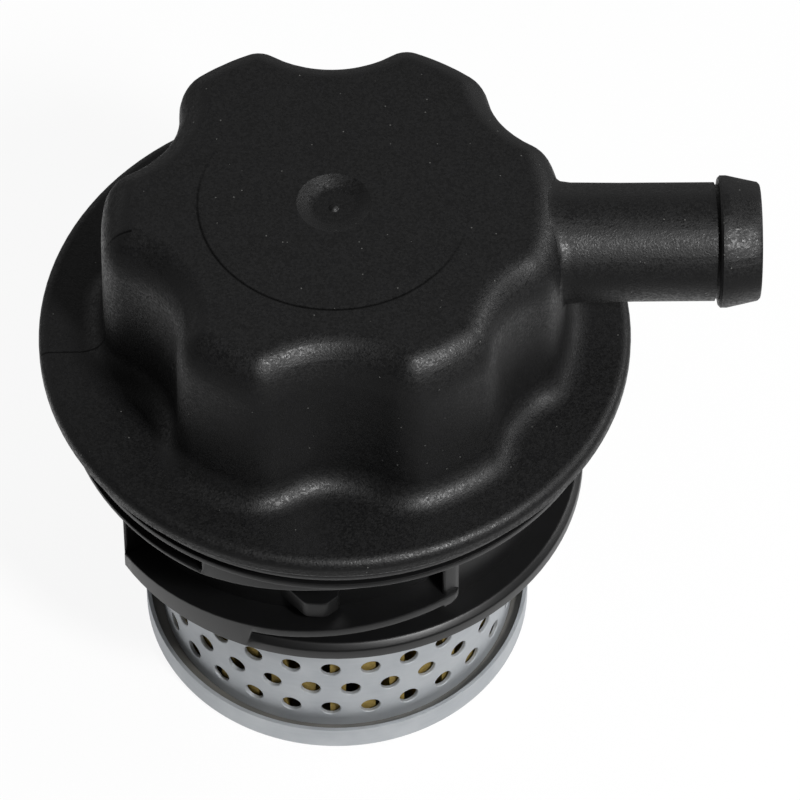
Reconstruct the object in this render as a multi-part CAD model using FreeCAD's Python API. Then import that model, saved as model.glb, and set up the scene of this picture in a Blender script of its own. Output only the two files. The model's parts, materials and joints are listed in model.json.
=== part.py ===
"""Cap of a power steering reservoir, with its hose nipple, bayonet and hanging return filter.

Lengths are millimetres. The origin is on the cap's axis, at the upper face of the spigot ring that
enters the reservoir's neck. +Z points up to the grip and +X along the hose nipple.
"""
import FreeCAD, Part
import os
from math import acos, asin, cos, degrees, pi, radians, sin

UP = FreeCAD.Vector(0, 0, 1)
ALONG_NIPPLE = FreeCAD.Vector(1, 0, 0)
CENTRE = FreeCAD.Vector(0, 0, 0)

# How far a tool runs past what it cuts, and how far a feature reaches into what it grows from
SPARE = 5.0
ROOTED = 1.0

# How many straight steps stand for a quarter of a rounded edge
ROUND_STEPS = 3

# Drum that reaches into the reservoir's neck, with a shoulder inside for the carrier
DRUM_BORE_R = 28.4
DRUM_WALL = 1.9
DRUM_DEPTH = 21.8
SHOULDER_Z = 1.5

# Seal groove with its rubber ring, and the spigot ring below it
GROOVE_WALL = 2.7
NECK_SEAL_WIRE_R = 2.4
NECK_SEAL_SIDES = 8
SEAL_PROUD = 0.45
SEAL_SLACK = 0.3
RUBBER_GAP = 0.05
SPIGOT_THICK = 1.05

# Flange that lies on the neck's rim with a narrow land
FLANGE_OVERHANG = 2.6
FLANGE_THICK = 2.9
FLANGE_EDGE_ROUND = 1.5
FLANGE_LOWER_CUT = 0.3
LAND_GAP = 0.6
LAND_STEP = 0.2

# Grip: a six-lobed hollow knob
KNOB_HEIGHT = 26.1
KNOB_WALL = 3.2
KNOB_CROWN = 2.8
LOBE_R = 31.2
TOP_CORNER_R = 0.5
VALLEY_R = 12.6
VALLEY_DEPTH = 5.0
VALLEY_ANGLES = (90.0, 150.0, 210.0, 270.0)
NIPPLE_VALLEY_DEPTH = 2.7
NIPPLE_VALLEY_ANGLES = (34.5, 325.5)
KNOB_DRAFT = 0.5
KNOB_TOP_ROUND = 4.4
KNOB_TOP_ROUND_HEIGHT = 6.8
KNOB_FOOT_ROUND = 3.5
GATE_R = 5.0
GATE_FLOOR_R = 2.6
GATE_DEPTH = 1.2
GATE_NUB_R = 0.7
GATE_NUB_HEIGHT = 0.6

# Bayonet: two lugs, each a lip, a rising ledge, an end stop, a skirt and a click nub. The lug on the
# front is drawn, and the other is the same, half a turn on. Rises are from the drum's lower edge.
LUG_COUNT = 2
LUG_REACH = 4.0
LUG_LEFT_X = -29.0
LUG_RIGHT_Y = -2.0
LIP_THICK = 2.7
LIP_EDGE_CUT = 0.8
LEDGE_THICK = 1.55
LEDGE_START_RISE = 2.8
LEDGE_KNEE_ANGLE = 257.0
LEDGE_KNEE_RISE = 5.85
LEDGE_STOP_RISE = 9.5
LEDGE_POCKET_LEFT_X = -11.7
STOP_LEFT_X = 14.1
STOP_WIDTH = 2.25
STOP_STEP = 0.6
STOP_BELOW_LEDGE = 1.25
STOP_CORNER_CUT = 1.0
SKIRT_STEP = 0.4
SKIRT_DROP = 3.45
SKIRT_LEFT_X = -34.6
SKIRT_RAMP_ANGLE = 240.5
SKIRT_KNEE_ANGLE = 266.0
SKIRT_KNEE_RISE = 2.5
SKIRT_END_ANGLE = 287.0
SKIRT_POCKET_LIP = 0.8
NUB_STEP = 1.3
NUB_TOP_RISE = 11.05
NUB_HEIGHT = 3.1
NUB_FRONT_WIDTH = 2.8
NUB_LEFT_SLOPE = 4.1
NUB_RIGHT_SLOPE = 1.6
NUB_ANGLE = 264.9
SCREW_OVERRUN = 45.0

# Hose nipple
NIPPLE_R = 7.9
NIPPLE_BORE_R = 5.75
NIPPLE_RISE = 17.14
NIPPLE_REACH = 25.2
NIPPLE_ROOTED = 2.0
BARB_LENGTH = 5.5
BARB_R = 8.8
BARB_SHOULDER = 1.1
BARB_GROOVE = 0.5
BARB_GROOVE_DEPTH = 0.3
NIPPLE_TIP_R = 7.9
NIPPLE_TIP_CUT = 0.3

# Carrier: the inner moulding that closes the grip's chamber and holds the filter's stem
CARRIER_GAP = 0.1
CARRIER_THICK = 4.5
CARRIER_FLOOR = 2.4
CARRIER_RIM_WIDTH = 4.5
STEM_R = 10.0
STEM_WALL = 2.2
STEM_BELOW_PAN = 14.0
STEM_TIP_CONE = 1.2
STEM_TIP_HEIGHT = 2.5
RIB_COUNT = 6
RIB_THICK = 1.6
RIB_BELOW_RIM = 0.6
CARRIER_SEAL_WIRE_R = 1.0
CARRIER_SEAL_SIDES = 6
CARRIER_SEAL_GROOVE_HEIGHT = 2.4

# Ring that holds the carrier in the drum
CLIP_THICK = 1.4
CLIP_GROOVE_DEPTH = 0.7
CLIP_WIDTH = 2.0
CLIP_GAP = 0.1
CLIP_OPENING_ANGLE = 24.0

# Filter element, hung on the stem by its grommet
SHEET = 0.6
PAN_GAP = 1.2
PAN_RIM = 4.3
PAN_CORNER_CUT = 0.5
TOP_PAN_DROP = 3.5
FILTER_HEIGHT = 45.9
GLUE_THICK = 2.0
GLUE_GAP = 0.05
TUBE_INSET = 1.6
OUTER_TUBE_SHEET = 0.6
PERFORATION_SIDES = 6
PERFORATION_R = 1.4
PERFORATION_COLUMNS = 28
PERFORATION_ROW_STEP = 4.67
PERFORATION_ROWS = 6
PERFORATION_START_ANGLE = 10.5
LOWEST_ROW_ABOVE_GLUE = 4.1
INNER_TUBE_SHEET = 0.5
INNER_TUBE_ON_GLUE = 1.0
INNER_HOLE_R = 2.5
INNER_HOLE_COLUMNS = 8
INNER_HOLE_ROWS = 4
PLEAT_COUNT = 36
PAPER_THICK = 0.6
PAPER_GAP = 0.35
PLEAT_FOLD_HALF = 1.1
PLEAT_VALLEY_HALF = 0.2
GROMMET_WAIST = 1.8
GROMMET_LIP = 2.8
GROMMET_LOWER_LIP = 1.2
GROMMET_GLUE_GAP = 0.2
GROMMET_LIP_THICK = 1.3
GROMMET_EDGE_CUT = 0.5
GROMMET_SKIRT = 2.0

# Bypass valve in the bottom end cap
VALVE_HOLE_R = 5.5
GASKET_SEAT = 2.1
GASKET_WIDTH = 1.8
GASKET_THICK = 1.0
PLATE_EDGE = 0.4
PLATE_THICK = 1.2
DISH_CLEARANCE = 2.5
DISH_HEIGHT = 7.0
DISH_SLOPE = 1.0
VALVE_STEM_R = 1.5
VALVE_STEM_HEAD_R = 2.4
VALVE_STEM_HEAD = 0.8
RUNNING_GAP = 0.1
GUIDE_EDGE = 0.5
GUIDE_RIM_WIDTH = 1.6
GUIDE_HUB_R = 3.4
GUIDE_ARM_WIDTH = 2.2
GUIDE_ARMS = 3
SPRING_IN_GUIDE = 0.8
SPRING_WIRE = 1.0
SPRING_TURNS = 4
SPRING_STEPS = 16
SPRING_LENGTH = 10.5
SPRING_SEAT_GAP = 0.05
RETAINER_GAP = 0.8
RETAINER_THICK = 0.9
RETAINER_RIM = 1.6

DRUM_R = DRUM_BORE_R + DRUM_WALL
DRUM_BOTTOM = -DRUM_DEPTH
SEAL_GROOVE_R = DRUM_R + GROOVE_WALL
SEAL_GROOVE_HEIGHT = 2 * NECK_SEAL_WIRE_R + 2 * RUBBER_GAP + SEAL_SLACK
SPIGOT_R = SEAL_GROOVE_R + RUBBER_GAP + 2 * NECK_SEAL_WIRE_R - SEAL_PROUD
FLANGE_R = SPIGOT_R + FLANGE_OVERHANG
FLANGE_BOTTOM = SEAL_GROOVE_HEIGHT
FLANGE_TOP = FLANGE_BOTTOM + FLANGE_THICK
KNOB_TOP = FLANGE_TOP + KNOB_HEIGHT
LOBE_CORNER_R = KNOB_TOP_ROUND + KNOB_DRAFT + TOP_CORNER_R
NIPPLE_Z = FLANGE_TOP + NIPPLE_RISE
NIPPLE_TIP_X = LOBE_R + NIPPLE_REACH
NIPPLE_ROOT_X = LOBE_R - KNOB_WALL - NIPPLE_ROOTED

LUG_R = DRUM_R + LUG_REACH
LIP_TOP = DRUM_BOTTOM + LIP_THICK
LEDGE_START_Z = DRUM_BOTTOM + LEDGE_START_RISE
LEDGE_KNEE_Z = DRUM_BOTTOM + LEDGE_KNEE_RISE
LEDGE_STOP_Z = DRUM_BOTTOM + LEDGE_STOP_RISE
STOP_R = LUG_R - STOP_STEP
NUB_R = LUG_R - NUB_STEP
NUB_TOP_Z = DRUM_BOTTOM + NUB_TOP_RISE
SKIRT_R = SPIGOT_R - SKIRT_STEP
SKIRT_BOTTOM = -SPIGOT_THICK - SKIRT_DROP

CARRIER_BOTTOM = SHOULDER_Z - CARRIER_THICK
CARRIER_MIDDLE = SHOULDER_Z - CARRIER_THICK / 2
CLIP_TOP = CARRIER_BOTTOM - CLIP_GAP
CLIP_BOTTOM = CLIP_TOP - CLIP_THICK
STEM_BORE_R = STEM_R - STEM_WALL
TOP_PAN_Z = CLIP_BOTTOM - TOP_PAN_DROP
STEM_BOTTOM = TOP_PAN_Z - STEM_BELOW_PAN
TOP_GLUE_Z = TOP_PAN_Z - SHEET
PACK_TOP = TOP_GLUE_Z - GLUE_THICK
BOTTOM_Z = TOP_PAN_Z - FILTER_HEIGHT
FLOOR_Z = BOTTOM_Z + SHEET
PACK_BOTTOM = FLOOR_Z + GLUE_THICK

PAN_R = DRUM_BORE_R - PAN_GAP
PAN_INNER_R = PAN_R - SHEET
OUTER_TUBE_R = PAN_INNER_R - TUBE_INSET
TOP_PAN_HOLE_R = STEM_R + GROMMET_WAIST
GROMMET_LIP_R = TOP_PAN_HOLE_R + GROMMET_LIP
GROMMET_LOWER_LIP_R = TOP_PAN_HOLE_R + GROMMET_LOWER_LIP
GLUE_INNER_R = GROMMET_LOWER_LIP_R + GROMMET_GLUE_GAP
INNER_TUBE_R = GLUE_INNER_R + INNER_TUBE_ON_GLUE

GASKET_R = VALVE_HOLE_R + GASKET_SEAT
PLATE_R = GASKET_R + PLATE_EDGE
DISH_R = PLATE_R + DISH_CLEARANCE
DISH_TOP = BOTTOM_Z + DISH_HEIGHT
DISH_UNDER = DISH_TOP - SHEET
PLATE_TOP = DISH_UNDER - GASKET_THICK
PLATE_BOTTOM = PLATE_TOP - PLATE_THICK
GUIDE_R = DISH_R - DISH_SLOPE - GUIDE_EDGE
GUIDE_TOP = DISH_TOP + SHEET
SPRING_R = GUIDE_R - GUIDE_RIM_WIDTH - SPRING_IN_GUIDE
SPRING_TOP = GUIDE_TOP + SPRING_LENGTH
RETAINER_R = SPRING_R + SPRING_WIRE / 2 + RETAINER_GAP
RETAINER_TOP = SPRING_TOP + RETAINER_THICK


def polar(radius, angle, z=0.0):
    """A point at a radius and an angle in degrees about the cap's axis."""
    return FreeCAD.Vector(radius * cos(radians(angle)), radius * sin(radians(angle)), z)


def closed_face(corners):
    """The flat face inside a closed run of corners."""
    return Part.Face(Part.makePolygon(corners + corners[:1]))


def cylinder(radius, bottom, top):
    """An upright cylinder about the cap's axis."""
    return Part.makeCylinder(radius, top - bottom, FreeCAD.Vector(0, 0, bottom), UP)


def ring(outer, inner, bottom, top):
    """An upright tube about the cap's axis."""
    return cylinder(outer, bottom, top).cut(cylinder(inner, bottom - SPARE, top + SPARE))


def turned(points, axis=UP, place=CENTRE):
    """A body turned about an axis from the (radius, height) points of its half section."""
    section = closed_face([FreeCAD.Vector(radius, 0, height) for radius, height in points])
    body = section.revolve(CENTRE, UP, 360)
    body.Placement = FreeCAD.Placement(place, FreeCAD.Rotation(UP, axis))
    return body


def box(low, high):
    """A box between two opposite corners."""
    return Part.makeBox(high[0] - low[0], high[1] - low[1], high[2] - low[2], FreeCAD.Vector(*low))


def quarter(centre, reach, first, last):
    """Points in straight steps along a quarter of a round or oval edge, from a first angle to a last."""
    points = []
    for step in range(ROUND_STEPS + 1):
        angle = radians(first + (last - first) * step / ROUND_STEPS)
        points.append((centre[0] + reach[0] * cos(angle), centre[1] + reach[1] * sin(angle)))
    return points


def rubber_ring(wire_r, ring_r, z, sides):
    """A rubber ring, its round section drawn with a few flat sides and one corner outermost."""
    points = []
    for number in range(sides):
        angle = 2 * pi * number / sides
        points.append((ring_r + wire_r * cos(angle), z + wire_r * sin(angle)))
    return turned(points)


def around(body, count):
    """Copies of a body, evenly turned about the cap's axis."""
    copies = []
    for number in range(count):
        copy = body.copy()
        copy.rotate(CENTRE, UP, 360.0 * number / count)
        copies.append(copy)
    return copies


def fused(bodies):
    """One solid from bodies that meet, with the seams between their faces removed."""
    return bodies[0].multiFuse(bodies[1:]).removeSplitter()


def sector(outer, inner, first_angle, last_angle, bottom, top):
    """A piece of a tube between two angles."""
    place = FreeCAD.Vector(0, 0, bottom)
    wedge = Part.makeCylinder(outer, top - bottom, place, UP, last_angle - first_angle)
    wedge.rotate(CENTRE, UP, first_angle)
    return wedge.cut(cylinder(inner, bottom - SPARE, top + SPARE))


def beside_screw(first, last, reach):
    """The space above, or below for a negative reach, a screw surface through two (angle, z) points."""
    slope = (last[1] - first[1]) / (last[0] - first[0])
    span = last[0] - first[0] + 2 * SCREW_OVERRUN
    edges = []
    for radius in (DRUM_R - SPARE, SPIGOT_R + SPARE):
        edges.append(Part.makeHelix(slope * 360.0, slope * span, radius).Edges[0])
    space = Part.makeRuledSurface(edges[0], edges[1]).extrude(UP * reach)
    space.rotate(CENTRE, UP, first[0] - SCREW_OVERRUN)
    space.translate(UP * (first[1] - slope * SCREW_OVERRUN))
    return space


def ramped(body, knees, reach):
    """A body cut along a broken screw line. Each run cuts a copy, and what any copy keeps stays."""
    kept = []
    for first, last in zip(knees, knees[1:]):
        kept.append(body.cut(beside_screw(first, last, reach)))
    return fused(kept)


def valley_spans():
    """For each valley of the grip: its angle, its centre's radius, its half angle and its half turn."""
    depths = {angle: VALLEY_DEPTH for angle in VALLEY_ANGLES}
    depths.update({angle: NIPPLE_VALLEY_DEPTH for angle in NIPPLE_VALLEY_ANGLES})
    corner_centre_r = LOBE_R - LOBE_CORNER_R
    reach = VALLEY_R + LOBE_CORNER_R
    spans = []
    for angle, depth in sorted(depths.items()):
        centre_r = LOBE_R - depth + VALLEY_R
        opposite = corner_centre_r ** 2 + centre_r ** 2 - reach ** 2
        half = degrees(acos(opposite / (2 * corner_centre_r * centre_r)))
        lean = degrees(asin(corner_centre_r * sin(radians(half)) / reach))
        spans.append((angle, centre_r, half, lean))
    return spans


def outline_arcs():
    """The grip's outline as arcs in turn: centre, radius, side, first angle and turn.

    The side is 1 where the outline bulges outwards, and -1 in a valley, where the turn is negative.
    """
    spans = valley_spans()
    corner_r = LOBE_CORNER_R
    corner_centre_r = LOBE_R - corner_r
    arcs = []
    for (angle, centre_r, half, lean), following in zip(spans, spans[1:] + spans[:1]):
        lobe_turn = (following[0] - following[2] - angle - half) % 360.0
        arcs.append((polar(corner_centre_r, angle - half), corner_r, 1, angle - half, half + lean))
        arcs.append((polar(centre_r, angle), VALLEY_R, -1, angle + 180.0 + lean, -2 * lean))
        arcs.append((polar(corner_centre_r, angle + half), corner_r, 1, angle - lean, half + lean))
        arcs.append((CENTRE, LOBE_R, 1, angle + half, lobe_turn))
    return arcs


def drafted(inset, z):
    """A point of the grip's profile, moved inwards by the draft at its height."""
    return inset + KNOB_DRAFT * (z - FLANGE_TOP) / KNOB_HEIGHT, z


def lobed_body(profile):
    """A solid whose wall follows the grip's outline, from the (inset, z) points of its profile."""
    faces = []
    ends = {profile[0]: [], profile[-1]: []}
    for centre, radius, side, first, turn in outline_arcs():
        points = [centre + polar(radius - side * inset, first, z) for inset, z in profile]
        axis = UP if turn > 0 else UP * -1
        faces += Part.makePolygon(points).revolve(centre, axis, abs(turn)).Faces
        low, high = sorted((first, first + turn))
        for (inset, z), edges in ends.items():
            edges.append(Part.makeCircle(radius - side * inset, centre + UP * z, UP, low, high))
    for edges in ends.values():
        faces.append(Part.Face(Part.Wire(Part.__sortEdges__(edges))))
    skin = Part.Compound(faces)
    skin.sewShape()
    return Part.Solid(Part.Shell(skin.Faces))


def grip():
    """The grip with its flared foot and its rounded top edge, before its chamber is cut."""
    foot_centre = (-KNOB_FOOT_ROUND, FLANGE_TOP + KNOB_FOOT_ROUND)
    top_centre = (KNOB_TOP_ROUND, KNOB_TOP - KNOB_TOP_ROUND_HEIGHT)
    foot = quarter(foot_centre, (KNOB_FOOT_ROUND, KNOB_FOOT_ROUND), -90, 0)
    top = quarter(top_centre, (-KNOB_TOP_ROUND, KNOB_TOP_ROUND_HEIGHT), 0, 90)
    root = (foot[0][0], FLANGE_TOP - ROOTED)
    return lobed_body([root, foot[0]] + [drafted(*point) for point in foot[1:] + top])


def gate_mark():
    """The shallow dish that the grip's top has around its gate."""
    floor = KNOB_TOP - GATE_DEPTH
    above = KNOB_TOP + ROOTED
    dish = turned([(0, floor), (GATE_FLOOR_R, floor), (GATE_R, KNOB_TOP), (GATE_R, above), (0, above)])
    nub = turned([(0, floor), (GATE_NUB_R, floor), (0, floor + GATE_NUB_HEIGHT)])
    return dish.cut(nub)


def neck():
    """The turned part of the moulding: flange, seal groove, spigot ring and drum."""
    edge_r = FLANGE_R - FLANGE_EDGE_ROUND
    edge_z = FLANGE_TOP - FLANGE_EDGE_ROUND
    land_r = SPIGOT_R + LAND_GAP
    ceiling = FLANGE_BOTTOM + LAND_STEP
    upper = quarter((edge_r, edge_z), (FLANGE_EDGE_ROUND, FLANGE_EDGE_ROUND), 90, 0)
    lower = [(FLANGE_R, FLANGE_BOTTOM + FLANGE_LOWER_CUT), (FLANGE_R - FLANGE_LOWER_CUT, FLANGE_BOTTOM),
             (land_r, FLANGE_BOTTOM), (land_r, ceiling), (SEAL_GROOVE_R, ceiling)]
    collar = [(SEAL_GROOVE_R, 0), (SPIGOT_R, 0), (SPIGOT_R, -SPIGOT_THICK), (DRUM_R, -SPIGOT_THICK),
              (DRUM_R, DRUM_BOTTOM), (0, DRUM_BOTTOM)]
    return turned([(0, FLANGE_TOP)] + upper + lower + collar)


def lug_lip():
    """The lip along the drum's lower edge, cut flat at its left end."""
    root = DRUM_R - ROOTED
    lip = turned([(root, DRUM_BOTTOM), (LUG_R, DRUM_BOTTOM), (LUG_R, LIP_TOP - LIP_EDGE_CUT),
                  (LUG_R - LIP_EDGE_CUT, LIP_TOP), (root, LIP_TOP)])
    return lip.common(box((LUG_LEFT_X, -FLANGE_R, DRUM_BOTTOM), (FLANGE_R, LUG_RIGHT_Y, LIP_TOP)))


def lug_ledge():
    """The ledge that rises from the lip to the stop in two slopes, hollow below once it leaves the lip."""
    first = 180.0 + degrees(acos(-LUG_LEFT_X / LUG_R))
    last = 360.0 - degrees(acos(STOP_LEFT_X / LUG_R))
    knees = [(first, LEDGE_START_Z), (LEDGE_KNEE_ANGLE, LEDGE_KNEE_Z), (last, LEDGE_STOP_Z)]
    lowered = [(angle, z - LEDGE_THICK) for angle, z in knees]
    bottom = LIP_TOP - LIP_EDGE_CUT
    top = LEDGE_STOP_Z + SPARE
    reach = top - DRUM_BOTTOM + SPARE
    right = STOP_LEFT_X + STOP_WIDTH
    block = ring(LUG_R, DRUM_R - ROOTED, bottom, top)
    block = block.common(box((LUG_LEFT_X, -FLANGE_R, DRUM_BOTTOM), (right, -ROOTED, top)))
    pocket = ring(LUG_R + ROOTED, DRUM_R, bottom, top)
    pocket_low = (LEDGE_POCKET_LEFT_X, -FLANGE_R, DRUM_BOTTOM)
    pocket = pocket.common(box(pocket_low, (right + ROOTED, -ROOTED, top)))
    return ramped(block, knees, reach).cut(ramped(pocket, lowered, reach))


def lug_stop():
    """The rib between ledge and spigot ring that ends the cap's turn in the neck."""
    bottom = LEDGE_STOP_Z - LEDGE_THICK - STOP_BELOW_LEDGE
    top = -SPIGOT_THICK / 2
    right = STOP_LEFT_X + STOP_WIDTH
    outline = [(STOP_LEFT_X, bottom), (right - STOP_CORNER_CUT, bottom), (right, bottom + STOP_CORNER_CUT),
               (right, top), (STOP_LEFT_X, top)]
    front = closed_face([FreeCAD.Vector(x, -FLANGE_R, z) for x, z in outline])
    plate = front.extrude(FreeCAD.Vector(0, FLANGE_R / 2, 0))
    return plate.common(ring(STOP_R, DRUM_R - ROOTED, bottom, top))


def lug_skirt():
    """The skirt under the spigot ring: a slotted stretch on the left, then an underside that rises away."""
    top = -SPIGOT_THICK / 2
    end_x = SKIRT_R * cos(radians(SKIRT_END_ANGLE))
    block = ring(SKIRT_R, DRUM_R - ROOTED, SKIRT_BOTTOM, top)
    block = block.common(box((SKIRT_LEFT_X, -FLANGE_R, SKIRT_BOTTOM), (end_x, -ROOTED, top)))
    knees = [(SKIRT_RAMP_ANGLE, SKIRT_BOTTOM), (SKIRT_KNEE_ANGLE, SKIRT_BOTTOM + SKIRT_KNEE_RISE),
             (SKIRT_END_ANGLE, -SPIGOT_THICK)]
    slot_bottom = SKIRT_BOTTOM + SKIRT_POCKET_LIP
    slot = sector(SPIGOT_R + ROOTED, SEAL_GROOVE_R, 180.0, SKIRT_RAMP_ANGLE, slot_bottom, -SPIGOT_THICK)
    return ramped(block, knees, SKIRT_BOTTOM - SPARE - SPARE).cut(slot)


def lug_nub():
    """The click nub that the neck's lug rides over, with a long lead-in on the left."""
    root = DRUM_R - ROOTED
    half = NUB_FRONT_WIDTH / 2
    outline = [(-half - NUB_LEFT_SLOPE, -root), (-half, -NUB_R), (half, -NUB_R),
               (half + NUB_RIGHT_SLOPE, -NUB_R + NUB_RIGHT_SLOPE), (half + NUB_RIGHT_SLOPE, -root)]
    underside = closed_face([FreeCAD.Vector(x, y, NUB_TOP_Z - NUB_HEIGHT) for x, y in outline])
    nub = underside.extrude(UP * NUB_HEIGHT)
    nub.rotate(CENTRE, UP, NUB_ANGLE - 270.0)
    return nub


def nipple():
    """The hose nipple with its single barb, before its bore is cut."""
    length = NIPPLE_TIP_X - NIPPLE_ROOT_X
    barb = length - BARB_LENGTH
    groove_r = NIPPLE_R - BARB_GROOVE_DEPTH
    tube = [(0, 0), (NIPPLE_R, 0), (NIPPLE_R, barb - BARB_GROOVE), (groove_r, barb - BARB_GROOVE),
            (groove_r, barb)]
    crest = [(BARB_R - BARB_GROOVE_DEPTH, barb), (BARB_R, barb + BARB_GROOVE_DEPTH),
             (BARB_R, barb + BARB_SHOULDER)]
    tip = [(NIPPLE_TIP_R, length - NIPPLE_TIP_CUT), (NIPPLE_TIP_R - NIPPLE_TIP_CUT, length), (0, length)]
    return turned(tube + crest + tip, ALONG_NIPPLE, FreeCAD.Vector(NIPPLE_ROOT_X, 0, NIPPLE_Z))


def cap_body():
    """The outer moulding: grip, flange, spigot, drum, bayonet and nipple in one piece."""
    features = [grip(), nipple()]
    for feature in (lug_lip(), lug_ledge(), lug_stop(), lug_skirt(), lug_nub()):
        features += around(feature, LUG_COUNT)
    body = fused([neck()] + features)
    chamber = lobed_body([(KNOB_WALL, SHOULDER_Z), (KNOB_WALL, KNOB_TOP - KNOB_CROWN)])
    bore = cylinder(DRUM_BORE_R, DRUM_BOTTOM - SPARE, SHOULDER_Z)
    clip_groove = cylinder(DRUM_BORE_R + CLIP_GROOVE_DEPTH, CLIP_BOTTOM - CLIP_GAP, CARRIER_BOTTOM)
    inside = FreeCAD.Vector(NIPPLE_ROOT_X - SPARE, 0, NIPPLE_Z)
    nipple_bore = Part.makeCylinder(NIPPLE_BORE_R, NIPPLE_TIP_X, inside, ALONG_NIPPLE)
    return body.cut([chamber, bore, clip_groove, nipple_bore, gate_mark()]).removeSplitter()


def neck_seal_ring():
    """The rubber ring in the groove between flange and spigot ring."""
    ring_r = SEAL_GROOVE_R + RUBBER_GAP + NECK_SEAL_WIRE_R
    return rubber_ring(NECK_SEAL_WIRE_R, ring_r, RUBBER_GAP + NECK_SEAL_WIRE_R, NECK_SEAL_SIDES)


def filter_carrier():
    """The inner moulding: a disc that seats on the drum's shoulder, with a hollow stem and ribs."""
    rim_r = DRUM_BORE_R - CARRIER_GAP
    groove_r = DRUM_BORE_R - 2 * (CARRIER_SEAL_WIRE_R + RUBBER_GAP)
    groove = CARRIER_SEAL_GROOVE_HEIGHT / 2
    floor = CARRIER_BOTTOM + CARRIER_FLOOR
    inner_r = rim_r - CARRIER_RIM_WIDTH
    disc = [(STEM_BORE_R, floor), (inner_r, floor), (inner_r, SHOULDER_Z), (rim_r, SHOULDER_Z),
            (rim_r, CARRIER_MIDDLE + groove), (groove_r, CARRIER_MIDDLE + groove),
            (groove_r, CARRIER_MIDDLE - groove), (rim_r, CARRIER_MIDDLE - groove), (rim_r, CARRIER_BOTTOM)]
    stem = [(STEM_R, CARRIER_BOTTOM), (STEM_R, STEM_BOTTOM + STEM_TIP_HEIGHT),
            (STEM_R - STEM_TIP_CONE, STEM_BOTTOM), (STEM_BORE_R, STEM_BOTTOM)]
    rib = box((STEM_R - ROOTED, -RIB_THICK / 2, CARRIER_BOTTOM + ROOTED),
              (inner_r + ROOTED, RIB_THICK / 2, SHOULDER_Z - RIB_BELOW_RIM))
    return fused([turned(disc + stem)] + around(rib, RIB_COUNT))


def carrier_o_ring():
    """The small rubber ring around the carrier."""
    ring_r = DRUM_BORE_R - CARRIER_SEAL_WIRE_R - RUBBER_GAP
    return rubber_ring(CARRIER_SEAL_WIRE_R, ring_r, CARRIER_MIDDLE, CARRIER_SEAL_SIDES)


def retaining_ring():
    """The open spring-steel ring that snaps into the drum's groove under the carrier."""
    outer = DRUM_BORE_R + CLIP_GROOVE_DEPTH - CLIP_GAP
    half = CLIP_OPENING_ANGLE / 2
    return sector(outer, outer - CLIP_WIDTH, half, 360.0 - half, CLIP_BOTTOM, CLIP_TOP)


def stem_grommet():
    """The rubber grommet in the top end cap's hole, which grips the stem."""
    inner = STEM_R + RUBBER_GAP
    waist = TOP_PAN_HOLE_R - RUBBER_GAP
    top = TOP_PAN_Z + GROMMET_LIP_THICK
    upper = TOP_PAN_Z + RUBBER_GAP
    lower = TOP_GLUE_Z - RUBBER_GAP
    bottom = lower - GROMMET_SKIRT
    outside = [(GROMMET_LIP_R - GROMMET_EDGE_CUT, top), (GROMMET_LIP_R, upper), (waist, upper),
               (waist, lower), (GROMMET_LOWER_LIP_R, lower), (inner + GROMMET_EDGE_CUT, bottom)]
    return turned([(inner, top)] + outside + [(inner, bottom)])


def top_end_cap():
    """The pressed steel pan over the filter, with its rim turned down and a hole for the grommet."""
    rim = TOP_PAN_Z - PAN_RIM
    outside = [(PAN_R - PAN_CORNER_CUT, TOP_PAN_Z), (PAN_R, TOP_PAN_Z - PAN_CORNER_CUT), (PAN_R, rim)]
    inside = [(PAN_INNER_R, rim), (PAN_INNER_R, TOP_GLUE_Z), (TOP_PAN_HOLE_R, TOP_GLUE_Z)]
    return turned([(TOP_PAN_HOLE_R, TOP_PAN_Z)] + outside + inside)


def glue_ring(bottom, top):
    """The cast glue that joins tubes and paper to an end cap."""
    return ring(PAN_INNER_R - GLUE_GAP, GLUE_INNER_R, bottom, top)


def perforated(radius, sheet, columns, hole_r, first_angle, heights):
    """A sheet tube with a row of holes at each height, every other row half a step on.

    The tube has a bend at each place where a hole can be, and its holes have a few flat sides.
    """
    walls = []
    for wall_r in (radius, radius - sheet):
        angles = [first_angle + 180.0 * number / columns for number in range(2 * columns)]
        bends = [polar(wall_r, angle, PACK_BOTTOM) for angle in angles]
        walls.append(closed_face(bends).extrude(UP * (PACK_TOP - PACK_BOTTOM)))
    punches = []
    for row, height in enumerate(heights):
        for column in range(columns):
            angle = first_angle + 360.0 * (column + 0.5 * (row % 2)) / columns
            centre = polar(radius - sheet - ROOTED, angle, height)
            sideways = polar(hole_r, angle + 90.0)
            corners = []
            for number in range(PERFORATION_SIDES):
                turn = 2 * pi * number / PERFORATION_SIDES
                corners.append(centre + sideways * cos(turn) + UP * hole_r * sin(turn))
            punches.append(closed_face(corners).extrude(polar(sheet + 2 * ROOTED, angle)))
    return walls[0].cut(walls[1:] + punches)


def outer_tube():
    """The perforated steel tube around the paper, punched where it shows below the drum."""
    lowest = PACK_BOTTOM + LOWEST_ROW_ABOVE_GLUE
    heights = [lowest + row * PERFORATION_ROW_STEP for row in range(PERFORATION_ROWS)]
    return perforated(OUTER_TUBE_R, OUTER_TUBE_SHEET, PERFORATION_COLUMNS, PERFORATION_R,
                      PERFORATION_START_ANGLE, heights)


def inner_tube():
    """The perforated centre tube inside the paper."""
    row_step = (PACK_TOP - PACK_BOTTOM) / (INNER_HOLE_ROWS + 1)
    heights = [PACK_BOTTOM + row * row_step for row in range(1, INNER_HOLE_ROWS + 1)]
    return perforated(INNER_TUBE_R, INNER_TUBE_SHEET, INNER_HOLE_COLUMNS, INNER_HOLE_R, 0.0, heights)


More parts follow.
